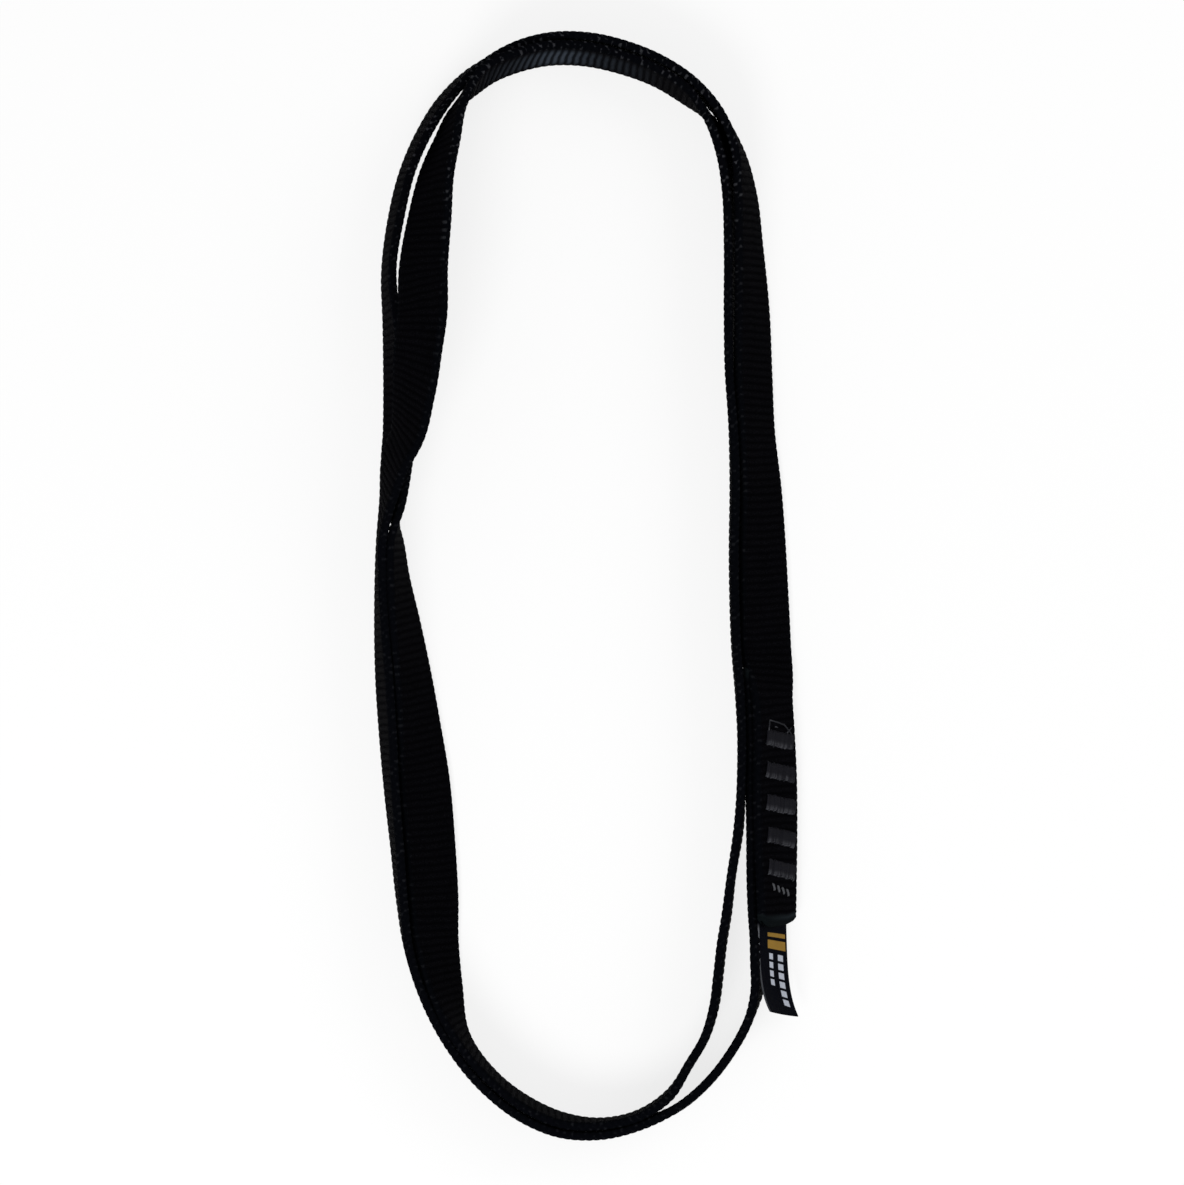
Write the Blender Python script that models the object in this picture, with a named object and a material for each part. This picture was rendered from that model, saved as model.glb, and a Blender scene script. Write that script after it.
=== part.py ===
"""Sewn climbing sling of flat webbing, doubled into two turns and lying on a table. Metres, +Z up.

The origin is on the table, under the middle of the sling. +Y runs along the loop and +X across it.
"""

import math
from collections import namedtuple

import bmesh
import bpy
import numpy as np

# Webbing: one flat strip, sewn to itself over the lap
webbing_width = 0.0200
webbing_thickness = 0.0024
selvedge_round = 0.0007
section_step = 0.0066
lay_clearance = 0.0005
lap_clearance = 0.0004
guide_width = 0.1266
guide_length = 0.3318

# Bar tacks through the lap, counted from its upper end. A drop is how far the middle of a tack or
# stitch row lies below the webbing's middle line, and a slant the degrees that it is turned by,
# which bring its lower end nearer the cut end.
tack_count = 5
tack_pitch = 0.0097
first_tack_from_end = 0.0171
tack_along = 0.0044
tack_across = 0.0140
tack_drop = 0.0010
tack_slant = 9.5
thread_height = 0.0005
thread_clearance = 0.0003
stem_side = 0.0010
stem_spread = 0.0100

# Row of small stitches beside the cut end
stitch_from_end = 0.0110
stitch_along = 0.0010
stitch_across = 0.0110
stitch_drop = 0.0002
stitch_slant = 15
stitch_stem_side = 0.0006
stitch_spread = 0.0060

# Label: its tail lies between the lap's layers and its free length hangs out
label_width = 0.0172
label_thickness = 0.00035
label_clearance = 0.00029
label_tail = 0.0132
label_reach = 0.0010
label_free_length = 0.0262
label_splay_share = 0.01
label_bend_share = 0.13
label_bend_power = 4
label_end_slant = 10
hinge_gap = 0.0006
label_sections = 9

# Where the strands stand: a guide point on the line of the outermost strand's foot, as shares of
# half the guide's sizes, then the lean of each strand towards the loop's inside, in degrees.
# The first strand starts at the lap's cut end and the second one follows it round inside.
# free_share is room left between the two, and lift_share the height of the raised foot, both as
# shares of the webbing's width.
Station = namedtuple("Station", "across_share along_share lean second_lean free_share lift_share")

lap_stations = [
    Station(0.944, -0.618, 30.5, 4, 0.255, 0),
    Station(0.950, -0.531, 33, 3, 0.145, 0),
    Station(0.955, -0.441, 34.5, 2, 0.060, 0),
    Station(0.953, -0.351, 34, 1, 0.010, 0),
    Station(0.942, -0.268, 32.5, 1, 0, 0),
    Station(0.935, -0.201, 31, 0, 0, 0),
]
right_and_top_stations = [
    Station(0.972, -0.126, 40, 0, 0.020, 0),
    Station(0.959, -0.026, 41.5, 0, 0.010, 0),
    Station(0.943, 0.082, 39, 0, 0, 0),
    Station(0.924, 0.172, 34, 0, 0, 0),
    Station(0.890, 0.280, 28, 0, 0, 0),
    Station(0.878, 0.379, 28, 2, 0.020, 0),
    Station(0.864, 0.496, 26, 5, 0.020, 0),
    Station(0.834, 0.613, 21.5, 8, 0, 0),
    Station(0.799, 0.716, 15.5, 11, 0.030, 0),
    Station(0.748, 0.788, 8, 13, 0.010, 0),
    Station(0.642, 0.847, 2, 4.5, 0.010, 0),
    Station(0.519, 0.900, 0, -4.5, 0, 0),
    Station(0.370, 0.939, 0, -6.5, 0, 0),
    Station(0.200, 0.966, 0, -7.8, 0, 0),
    Station(0.011, 0.982, 0, -8.2, 0, 0.03),
    Station(-0.178, 0.981, 0, -8.2, 0, 0.10),
    Station(-0.355, 0.963, 1, -6, 0, 0.22),
    Station(-0.511, 0.940, 4, -3, 0, 0.36),
    Station(-0.688, 0.880, 9, 11.5, 0.035, 0.52),
    Station(-0.787, 0.820, 11, 20, 0.035, 0.65),
    Station(-0.863, 0.753, 11, 28, 0.030, 0.78),
    Station(-0.924, 0.662, 11, 38, 0.015, 0.90),
    Station(-0.956, 0.565, 9.5, 45, 0, 0.98),
]

# Where the second strand climbs over the first: its foot is placed from the first one's top edge,
# down_share webbing widths down that strand's face and over_share pitches off the face.
Crossing = namedtuple("Crossing", "across_share along_share lean second_lean down_share over_share")

crossing_stations = [
    Crossing(-0.950, 0.478, 12, 45, -0.130, -0.15),
    Crossing(-0.949, 0.415, 17, 43, -0.095, 0.90),
    Crossing(-0.947, 0.343, 24, 35, 0.120, 1.42),
    Crossing(-0.951, 0.276, 26.5, 28, 0.360, 1.20),
]
left_and_bottom_stations = [
    Station(-0.958, 0.217, 22.5, 21.5, 0.030, 0.42),
    Station(-0.966, 0.145, 10, 10, 0.020, 0.20),
    Station(-0.978, 0.082, -4, 5, 0, 0.07),
    Station(-0.985, 0.019, -9, 6, 0, 0.01),
    Station(-0.989, -0.072, -16, 9, 0, 0),
    Station(-0.983, -0.171, -24.5, 12, 0, 0),
    Station(-0.967, -0.261, -31, 12, 0, 0),
    Station(-0.941, -0.369, -39, 10, 0, 0),
    Station(-0.910, -0.477, -39.5, 8, 0, 0),
    Station(-0.879, -0.575, -37.5, 6, 0, 0),
    Station(-0.841, -0.658, -30.5, 4, 0, 0),
    Station(-0.763, -0.745, -17, 3, 0.010, 0),
    Station(-0.647, -0.830, -5, 3, 0.010, 0),
    Station(-0.474, -0.909, -1, 2, 0, 0),
    Station(-0.296, -0.956, 0, 1, 0, 0),
    Station(-0.111, -0.984, 1, 1, 0, 0),
    Station(0.077, -0.994, 4, 3, 0, 0),
    Station(0.262, -0.977, 3, 3, 0, 0),
    Station(0.455, -0.943, 4, 3.5, 0.060, 0),
    Station(0.590, -0.900, 4, 3.5, 0.224, 0),
    Station(0.704, -0.848, 4, 3.5, 0.344, 0),
    Station(0.786, -0.788, 4, 3.5, 0.452, 0),
    Station(0.842, -0.731, 4, 8, 0.460, 0),
    Station(0.889, -0.678, 4, 21.5, 0.365, 0),
]

pitch = webbing_thickness + lay_clearance
label_room = label_thickness + 2 * label_clearance
# Room between the lap's layers at each lap station: the label's tail opens the lower end
lap_rooms = [label_room] * 2 + [lap_clearance] * 4
UP = np.array([0.0, 0.0, 1.0])


def clear_scene():
    for item in list(bpy.data.objects):
        bpy.data.objects.remove(item, do_unlink=True)


def material(name, colour, roughness):
    made = bpy.data.materials.new(name)
    made.use_nodes = True
    shader = made.node_tree.nodes["Principled BSDF"]
    shader.inputs["Base Color"].default_value = (*colour, 1.0)
    shader.inputs["Roughness"].default_value = roughness
    shader.inputs["Metallic"].default_value = 0.0
    return made


def mesh_object(name, points, faces, look):
    mesh = bpy.data.meshes.new(name)
    mesh.from_pydata([tuple(p) for p in points], [], faces)
    mesh.update()
    item = bpy.data.objects.new(name, mesh)
    bpy.context.scene.collection.objects.link(item)
    if look:
        mesh.materials.append(look)
        mesh.shade_smooth()
        mesh.set_sharp_from_angle(angle=math.radians(30))
    return item


def guide_points(stations):
    """Places of the stations on the table and the level direction to the loop's inside at each."""
    half = np.array([guide_width / 2, guide_length / 2, 0.0])
    points = np.array([[s.across_share, s.along_share, 0.0] for s in stations]) * half
    ahead = np.roll(points, -1, axis=0) - points
    behind = points - np.roll(points, 1, axis=0)
    ahead_length = np.linalg.norm(ahead, axis=1, keepdims=True)
    behind_length = np.linalg.norm(behind, axis=1, keepdims=True)
    tangent = ahead / ahead_length * behind_length + behind / behind_length * ahead_length
    tangent /= np.linalg.norm(tangent, axis=1, keepdims=True)
    return points, np.column_stack([-tangent[:, 1], tangent[:, 0], np.zeros(len(tangent))])


def least_inset(outer_lean, outer_lift, inner_lean, inner_lift):
    """How far inside the outer strand's foot the inner one stands when the two just clear."""
    rise = inner_lift - outer_lift
    sin_o, cos_o = math.sin(outer_lean), math.cos(outer_lean)
    sin_i, cos_i = math.sin(inner_lean), math.cos(inner_lean)
    foot_off_inner = (pitch + rise * sin_i) / cos_i
    top_off_inner = webbing_width * sin_o + (pitch + (rise - webbing_width * cos_o) * sin_i) / cos_i
    foot_off_outer = (pitch + rise * sin_o) / cos_o
    top_off_outer = (pitch + (rise + webbing_width * cos_i) * sin_o) / cos_o - webbing_width * sin_i
    return min(max(foot_off_inner, top_off_inner), max(foot_off_outer, top_off_outer))


def rest_height(lean):
    """Height of a leaning strand's foot line when the corner of its edge is on the table."""
    return webbing_thickness / 2 * abs(math.sin(lean))


def middle(foot, inward, lean, off_face=0.0):
    """Middle of the section that stands on foot, then moved off_face towards its inner face."""
    across = math.cos(lean) * UP + math.sin(lean) * inward
    face = math.cos(lean) * inward - math.sin(lean) * UP
    return foot + webbing_width / 2 * across + off_face * face


def beside(station, foot, inward, swapped):
    """Feet of both strands where they stand side by side, the outermost one on the guide."""
    leans = math.radians(station.lean), math.radians(station.second_lean)
    rests = [rest_height(lean) for lean in leans]
    lift = station.lift_share * webbing_width
    free = station.free_share * webbing_width
    if swapped:
        inset = least_inset(leans[1], lift, leans[0], 0.0) + free
        first = foot + inset * inward + rests[0] * UP
        return first, foot + (rests[1] + lift) * UP
    inset = least_inset(leans[0], 0.0, leans[1], lift) + free
    return foot + rests[0] * UP, foot + inset * inward + (rests[1] + lift) * UP


def crossed(station, foot, inward):
    """Feet of both strands where the second one passes over the first one's top edge."""
    lean = math.radians(station.lean)
    across = math.cos(lean) * UP + math.sin(lean) * inward
    outer_face = math.sin(lean) * UP - math.cos(lean) * inward
    first = foot + rest_height(lean) * UP
    top = first + webbing_width * across
    down = station.down_share * webbing_width
    return first, top - down * across + station.over_share * pitch * outer_face


def strip_rows():
    """Middle and lean of the strip at every station it passes, from its first end to its last."""
    before = lap_stations + right_and_top_stations
    stations = before + crossing_stations + left_and_bottom_stations
    points, inward = guide_points(stations)
    first_turn, second_turn, lap = [], [], []
    for index, (station, foot, inside) in enumerate(zip(stations, points, inward)):
        leans = math.radians(station.lean), math.radians(station.second_lean)
        if isinstance(station, Crossing):
            feet = crossed(station, foot, inside)
        else:
            feet = beside(station, foot, inside, swapped=index >= len(before))
        off_face = 0.0
        if index < len(lap_stations):
            off_face = -webbing_thickness - lap_rooms[index]
            lap.append((*middle(feet[0], inside, leans[0]), leans[0]))
        first_turn.append((*middle(feet[0], inside, leans[0], off_face), leans[0]))
        second_turn.append((*middle(feet[1], inside, leans[1]), leans[1]))
    return np.array(first_turn + second_turn + lap)


def smooth(rows, step):
    """Rows about a step apart along a smooth curve through the given rows."""
    spans = np.linalg.norm(np.diff(rows[:, :3], axis=0), axis=1)[:, None]
    slopes = np.diff(rows, axis=0) / spans
    inner = (slopes[:-1] * spans[1:] + slopes[1:] * spans[:-1]) / (spans[1:] + spans[:-1])
    rates = np.vstack([1.5 * slopes[0] - 0.5 * inner[0], inner, 1.5 * slopes[-1] - 0.5 * inner[-1]])
    fine = []
    for i, span in enumerate(spans):
        for t in np.linspace(0, 1, 24, endpoint=False):
            bend_in = (t**3 - 2 * t**2 + t) * span * rates[i]
            bend_out = (t**3 - t**2) * span * rates[i + 1]
            blend = 3 * t**2 - 2 * t**3
            fine.append((1 - blend) * rows[i] + blend * rows[i + 1] + bend_in + bend_out)
    fine = np.array(fine + [rows[-1]])
    run = np.linalg.norm(np.diff(fine[:, :3], axis=0), axis=1)
    run = np.concatenate([[0.0], np.cumsum(run)])
    places = np.linspace(0, run[-1], round(run[-1] / step) + 1)
    return np.column_stack([np.interp(places, run, column) for column in fine.T])


def frames(rows):
    """Middle, direction of travel, width direction and inner face direction at each row."""
    middles = rows[:, :3]
    travel = np.gradient(middles, axis=0)
    travel /= np.linalg.norm(travel, axis=1, keepdims=True)
    level = np.column_stack([-travel[:, 1], travel[:, 0], np.zeros(len(travel))])
    level /= np.linalg.norm(level, axis=1, keepdims=True)
    across = np.sin(rows[:, 3:4]) * level + np.cos(rows[:, 3:4]) * UP
    across -= (across * travel).sum(axis=1, keepdims=True) * travel
    across /= np.linalg.norm(across, axis=1, keepdims=True)
    return middles, travel, across, np.cross(across, travel)


def flat_section(width, thickness, corner):
    """Outline of a flat strip with cut corners, as places across it and off its middle."""
    side, face = width / 2, thickness / 2
    return [
        (side - corner, face),
        (side, face - corner),
        (side, corner - face),
        (side - corner, -face),
        (corner - side, -face),
        (-side, corner - face),
        (-side, face - corner),
        (corner - side, face),
    ]


def swept_strip(name, middles, across, faces_in, outline, look):
    """Closed body whose outline stands at each middle."""
    points = [m + u * a + v * f for m, a, f in zip(middles, across, faces_in) for u, v in outline]
    count = len(outline)
    last = (len(middles) - 1) * count
    sides = []
    for row in range(len(middles) - 1):
        for k in range(count):
            here, beyond = row * count + k, row * count + (k + 1) % count
            sides.append((here, beyond, beyond + count, here + count))
    caps = [tuple(reversed(range(count))), tuple(range(last, last + count))]
    item = mesh_object(name, points, sides + caps, look)
    turn_faces_out(item.data)
    return item


def turn_faces_out(mesh):
    work = bmesh.new()
    work.from_mesh(mesh)
    bmesh.ops.recalc_face_normals(work, faces=work.faces[:])
    work.to_mesh(mesh)
    work.free()


def blocky_solid(name, frame, cuts, filled, look):
    """Closed body of the filled cells between the cuts along, across and off the face."""
    place, axes = frame
    corners = {}
    faces = []

    def corner(cell):
        if cell not in corners:
            corners[cell] = len(corners)
        return corners[cell]

    for cell in filled:
        for axis in range(3):
            for side in (0, 1):
                beyond = list(cell)
                beyond[axis] += 2 * side - 1
                if tuple(beyond) in filled:
                    continue
                one, two = (axis + 1) % 3, (axis + 2) % 3
                loop = []
                for a, b in ((0, 0), (1, 0), (1, 1), (0, 1)):
                    at = list(cell)
                    at[axis] += side
                    at[one] += a
                    at[two] += b
                    loop.append(corner(tuple(at)))
                faces.append(tuple(loop if side else reversed(loop)))
    points = [place + sum(cuts[k][cell[k]] * axes[k] for k in range(3)) for cell in corners]
    item = mesh_object(name, points, faces, look)
    turn_faces_out(item.data)
    return item


def stem_centres(spread):
    return (-spread / 2, spread / 2)


def section_at(strip, from_end):
    """Middle, travel, width and inner face directions at a distance along the strip."""
    run = np.linalg.norm(np.diff(strip[0], axis=0), axis=1)
    run = np.concatenate([[0.0], np.cumsum(run)])
    return [np.array([np.interp(from_end, run, column) for column in values.T]) for values in strip]


def lap_frame(strip, from_end, last_middles, drop, slant):
    """Frame of a tack between the lap's layers at a distance from the cut end, and half their depth."""
    place, along, wide, off = section_at(strip, from_end)
    gaps = (last_middles - place) @ along
    nearest = np.argsort(np.abs(gaps))[:2]
    weight = gaps[nearest[1]] / (gaps[nearest[1]] - gaps[nearest[0]])
    opposite = weight * last_middles[nearest[0]] + (1 - weight) * last_middles[nearest[1]]
    between = (opposite - place) @ off
    wide = wide / np.linalg.norm(wide)
    off = np.cross(wide, along)
    turn = math.radians(slant)
    slanted = math.cos(turn) * wide + math.sin(turn) * along
    place = place + between / 2 * off - drop * slanted
    axes = math.cos(turn) * along - math.sin(turn) * wide, slanted, off
    return (place, axes), (between + webbing_thickness) / 2


def threads_through(name, frame, half_depth, along, across, stem, spread, look):
    """Thread pads on both faces of the lap, joined by the stems that run through the webbing."""
    near = half_depth + thread_clearance
    far = near + thread_height
    lengths = [-along / 2, -stem / 2, stem / 2, along / 2]
    widths = [-across / 2]
    for centre in stem_centres(spread):
        widths += [centre - stem / 2, centre + stem / 2]
    widths.append(across / 2)
    depths = [-far, -near, near, far]
    pads = {(i, j, k) for i in range(3) for j in range(len(widths) - 1) for k in (0, 2)}
    stems = {(1, j, 1) for j in range(1, len(widths) - 1, 2)}
    return blocky_solid(name, frame, (lengths, widths, depths), pads | stems, look)


def stem_holes(frame, half_depth, stem, spread):
    """Cutters for the holes that the stems of one tack or stitch row run through."""
    hole = stem / 2 + thread_clearance
    reach = half_depth + thread_clearance
    made = []
    for centre in stem_centres(spread):
        cuts = ([-hole, hole], [centre - hole, centre + hole], [-reach, reach])
        made.append(blocky_solid("stem_hole", frame, cuts, {(0, 0, 0)}, None))
    return made


def join(parts, name):
    """One object of several separate closed cutters."""
    work = bmesh.new()
    for item in parts:
        work.from_mesh(item.data)
    mesh = bpy.data.meshes.new(name)
    work.to_mesh(mesh)
    work.free()
    joined = bpy.data.objects.new(name, mesh)
    bpy.context.scene.collection.objects.link(joined)
    for item in parts:
        bpy.data.objects.remove(item, do_unlink=True)
    joined.hide_render = True
    joined.display_type = "WIRE"
    return joined


def cut(item, cutter):
    modifier = item.modifiers.new("Stem holes", "BOOLEAN")
    modifier.operation = "DIFFERENCE"
    modifier.solver = "EXACT"
    modifier.object = cutter


def label_outline():
    corner = label_thickness / 4
    return flat_section(label_width, label_thickness, corner)


def build_label_root(strip, cutter, look):
    """Sewn-in tail, from just outside the cut end to past the stitch row."""
    off = (webbing_thickness + label_room) / 2
    sections = [section_at(strip, at) for at in np.linspace(0, label_tail, label_sections)]
    rows = [middle + off * inner_face for middle, _, _, inner_face in sections]
    rows[0] = rows[0] - label_reach * sections[0][1]
    across = [section[2] for section in sections]
    faces_in = [section[3] for section in sections]
    item = swept_strip("label_root", rows, across, faces_in, label_outline(), look)
    cut(item, cutter)
    return item


def build_label_tab(strip, look):
    """Free length, bending away from the strand beside it. Its origin is on the hinge."""
    middles, travel, across, inner_face = (values[0] for values in strip)
    off = (webbing_thickness + label_room) / 2
    hinge = middles - (label_reach + hinge_gap / 2) * travel + off * inner_face
    rows, faces_in, widths = [], [], []
    for share in np.linspace(0, 1, label_sections):
        down = hinge_gap / 2 + share * (label_free_length - label_reach - hinge_gap)
        bend = label_splay_share * share + label_bend_share * share**label_bend_power
        slope = label_splay_share
        slope += label_bend_power * label_bend_share * share**(label_bend_power - 1)
        rows.append(-down * travel - label_free_length * bend * inner_face)
        turned = inner_face - slope * travel
        faces_in.append(turned / np.linalg.norm(turned))
        widths.append(across + share * math.tan(math.radians(label_end_slant)) * travel)
    item = swept_strip("label_tab", rows, widths, faces_in, label_outline(), look)
    item.location = hinge
    return item


def main():
    clear_scene()
    nylon = material("Black nylon webbing", (0.012, 0.012, 0.014), 0.6)
    thread = material("Grey polyester thread", (0.035, 0.036, 0.038), 0.55)
    satin = material("Dark label satin", (0.010, 0.012, 0.020), 0.45)

    strip = frames(smooth(strip_rows(), section_step))
    outline = flat_section(webbing_width, webbing_thickness, selvedge_round)
    middles, travel, across, inner_face = strip
    corners = np.array([middles + u * across + v * inner_face for u, v in outline]).reshape(-1, 3)
    low, high = corners.min(axis=0), corners.max(axis=0)
    middles = middles - np.array([(low[0] + high[0]) / 2, (low[1] + high[1]) / 2, low[2]])
    strip = middles, travel, across, inner_face
    webbing = swept_strip("webbing", middles, across, inner_face, outline, nylon)

    beyond_lap = round((first_tack_from_end + tack_count * tack_pitch) / section_step) + 3
    last_middles = middles[-beyond_lap:]
    holes = []
    for number in range(1, tack_count + 1):
        from_end = first_tack_from_end + (tack_count - number) * tack_pitch
        frame, half_depth = lap_frame(strip, from_end, last_middles, tack_drop, tack_slant)
        threads_through(
            f"bar_tack_{number}", frame, half_depth, tack_along, tack_across,
            stem_side, stem_spread, thread,
        )
        holes += stem_holes(frame, half_depth, stem_side, stem_spread)
    frame, half_depth = lap_frame(
        strip, stitch_from_end, last_middles, stitch_drop, stitch_slant
    )
    threads_through(
        "end_stitches", frame, half_depth, stitch_along, stitch_across,
        stitch_stem_side, stitch_spread, thread,
    )
    holes += stem_holes(frame, half_depth, stitch_stem_side, stitch_spread)
    cutter = join(holes, "stem_holes")
    cut(webbing, cutter)
    build_label_root(strip, cutter, satin)
    build_label_tab(strip, satin)


main()
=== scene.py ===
"""Looks of a doubled climbing sling of black webbing, lying on a pale table. Metres, +Z up.

The webbing is swept along listed stations close to its solid's, with woven ribs and knotted
selvedges as real shapes. The tacks are zigzags of single threads, and the label is one thin sheet.
"""

import math
from collections import namedtuple

import bpy
import numpy as np
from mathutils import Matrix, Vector


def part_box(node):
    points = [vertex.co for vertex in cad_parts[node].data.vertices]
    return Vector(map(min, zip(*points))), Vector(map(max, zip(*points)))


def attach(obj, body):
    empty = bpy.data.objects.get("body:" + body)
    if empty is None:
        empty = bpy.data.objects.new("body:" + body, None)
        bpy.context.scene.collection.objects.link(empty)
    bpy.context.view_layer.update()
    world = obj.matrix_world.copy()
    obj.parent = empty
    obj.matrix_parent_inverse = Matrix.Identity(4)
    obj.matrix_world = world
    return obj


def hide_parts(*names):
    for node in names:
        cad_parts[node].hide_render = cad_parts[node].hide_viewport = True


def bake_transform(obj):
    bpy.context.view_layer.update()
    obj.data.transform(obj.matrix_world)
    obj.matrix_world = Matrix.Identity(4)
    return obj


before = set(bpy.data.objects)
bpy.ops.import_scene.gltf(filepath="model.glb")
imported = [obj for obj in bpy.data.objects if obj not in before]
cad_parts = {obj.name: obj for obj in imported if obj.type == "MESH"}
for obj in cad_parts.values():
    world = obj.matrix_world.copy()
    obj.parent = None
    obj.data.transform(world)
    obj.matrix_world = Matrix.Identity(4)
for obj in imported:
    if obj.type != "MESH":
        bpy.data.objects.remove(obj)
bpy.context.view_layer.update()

# Camera: straight above the table
camera_place = (0.00208, -0.00140, 1.3)
camera_lens = 131.07
camera_sensor = 36.0
camera_clip = (0.05, 50.0)

# Stage
floor_reach = 6.0
floor_level = -0.0005
floor_color = (0.88, 0.88, 0.88, 1.0)
floor_glow_share = 0.80
white = (1.0, 1.0, 1.0, 1.0)
sky_strength = 0.55
lamps = [("key", (-0.35, -0.75, 0.95), 0.55, 9.0), ("fill", (0.9, 0.5, 0.8), 0.8, 5.0)]

# Webbing
webbing_width = 0.0200
webbing_thickness = 0.0024
lay_clearance = 0.0005
lap_clearance = 0.0004
guide_width = 0.1266
guide_length = 0.3318
shift_right = 0.00019
steps_per_span = 96
lap_length = 0.071
lap_map_steps = 80
lap_map_tail = 1.5
edge_proud = 0.00018
face_proud = 0.00007
rib_pitch = 0.0022
rows_per_rib = 6
rib_height = 0.00030
rib_share_below = 0.55
rib_roundness = 0.6
rib_unevenness = 0.22
weave_waves = [(0.00016, 210, 37, 0), (0.00010, 700, 91, 1)]  # height, rate across, rate along, phase
weave_still_end = 0.006
bow_waves = [(0.00012, 61, 0.5), (0.00008, 23, 0)]  # height, rate along, phase
bow_from = 0.006
bow_share = 0.5

# Sealed cut ends
seal_length = 0.0034
seal_start_share = 0.8
seal_stop_share = 1.15
seal_wave = 0.0004
seal_wave_rate = 900
seal_flattens = 0.9
seal_sink = 0.00004
seal_beads = [(0.0010, 0.0008, 0.00016), (seal_length, 0.0006, 0.00022)]  # place, reach, height
seal_round = 0.0012
end_thins = 0.93
end_narrows = 0.05
end_reach = 0.0060
end_corner = 0.0050
end_upper_back = 0.0023
end_lower_back = 0.0016

# Where the tacks press the weave down
press_depth = 0.00016
press_reach = 0.0012
press_flattens = 0.75
press_outer_reach = 0.08
press_inner_margin = 0.012

# Knots stronger towards the loop's top, and a painted highlight on the inner face over the top bend
knot_strength_least = 0.16
knot_strength_more = 0.60
knot_strength_along = (0.08, 0.13)
painted_highlight_broad = 0.20
painted_highlight_starts = (-0.034, -0.016)
painted_highlight_stops = (0.016, 0.036)
painted_highlight_peak = 0.60
painted_highlight_centre = 0.0030
painted_highlight_reach = 0.0100
painted_highlight_sides = (-0.0085, -0.0070)

# Tacks and stitches: their places are those of their solids
tack_count = 5
tack_pitch = 0.0097
first_tack_from_end = 0.0171
tack_along = 0.0044
tack_across = 0.0140
tack_drop = 0.0010
tack_slant = 9.5
stitch_from_end = 0.0110
stitch_across = 0.0110
stitch_drop = 0.0002
stitch_slant = 15
stitch_count = 4
stitch_long = 0.0019
stitch_lean = 40
stitch_width = 0.00074
stitch_height = 0.00026
thread_width = 0.00046
thread_pass = 0.00039
thread_sides = 8
thread_shares = np.array([0, 0.035, 0.09, 0.18, 0.33, 0.5, 0.67, 0.82, 0.91, 0.965, 1.0])
thread_rise_share = 0.14
thread_dive = 0.00025
thread_probe = 0.001
crown_least = 0.00030
crown_more = 0.00012
crown_spread = 0.00003
tack_low_spread = 0.00016
tack_high_spread = 0.00012
loose_height = 0.00022
loose_light = 0.14

# Label
label_width = 0.0172
label_thickness = 0.00030
label_room = 0.00093
label_tail = 0.0132
label_reach = 0.0010
label_free_length = 0.0262
label_splay_share = 0.01
label_bend_share = 0.13
label_bend_power = 4
label_end_slant = 10
label_rows_in = 12
label_rows_out = 29
label_columns = 19
label_cup = 0.00035
label_cup_reach = 0.02
label_cup_middle = 0.4

UP = np.array([0.0, 0.0, 1.0])
noise = np.random.default_rng(seed=11)

# A station gives the outermost strand's foot as shares of the guide's half sizes, both strands' leans
# from upright in degrees, and the room between them and the second strand's lift as shares of the
# webbing's width. At a crossing the second strand lies over the first, down from its top.
Station = namedtuple("Station", "across_share along_share lean second_lean free_share lift_share")
Crossing = namedtuple("Crossing", "across_share along_share lean second_lean down_share over_share")

lap_stations = [
    Station(0.944, -0.618, 31.5, 4, 0.243, 0),
    Station(0.950, -0.531, 34.2, 3, 0.127, 0),
    Station(0.962, -0.441, 37.3, 4, 0.012, 0),
    Station(0.961, -0.351, 38, 2, -0.050, 0),
    Station(0.949, -0.268, 35.2, 1.5, -0.056, 0),
    Station(0.938, -0.201, 34.6, 0.5, -0.060, 0),
]
right_and_top_stations = [
    Station(0.973, -0.126, 47.5, 0.5, -0.065, 0),
    Station(0.960, -0.026, 45.6, 0.5, -0.056, 0),
    Station(0.943, 0.082, 41.8, 0.5, -0.051, 0),
    Station(0.924, 0.172, 36, 0, -0.048, 0),
    Station(0.891, 0.280, 30.9, 1, -0.053, 0),
    Station(0.880, 0.379, 31.8, 3, -0.038, 0),
    Station(0.866, 0.496, 28.2, 6, -0.010, 0),
    Station(0.834, 0.613, 21.5, 8, 0, 0),
    Station(0.799, 0.716, 15.5, 11, 0.030, 0),
    Station(0.744, 0.786, 8, 14, -0.014, 0),
    Station(0.645, 0.850, 2.4, 8, -0.024, 0),
    Station(0.519, 0.900, 0, -4.5, 0, 0),
    Station(0.370, 0.939, 0, -6.5, 0, 0),
    Station(0.200, 0.966, 0, -7.8, 0, 0),
    Station(0.011, 0.982, 0, -8.2, 0, 0.03),
    Station(-0.178, 0.981, 0, -8.2, 0, 0.10),
    Station(-0.357, 0.964, 1.8, -7, 0, 0.22),
    Station(-0.512, 0.940, 7.5, -6.5, -0.036, 0.36),
    Station(-0.688, 0.880, 11.5, 10, 0.015, 0.52),
    Station(-0.787, 0.820, 11.5, 20, 0.040, 0.65),
    Station(-0.863, 0.753, 11, 28, 0.030, 0.78),
    Station(-0.922, 0.662, 11, 37.6, 0.002, 0.90),
    Station(-0.952, 0.565, 9.5, 43, -0.020, 0.98),
]
crossing_stations = [
    Crossing(-0.946, 0.478, 12, 43.8, -0.130, -0.15),
    Crossing(-0.944, 0.415, 17, 42, -0.095, 0.90),
    Crossing(-0.944, 0.343, 24, 35, 0.120, 1.42),
    Crossing(-0.947, 0.276, 26.5, 28, 0.360, 1.20),
]
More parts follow.
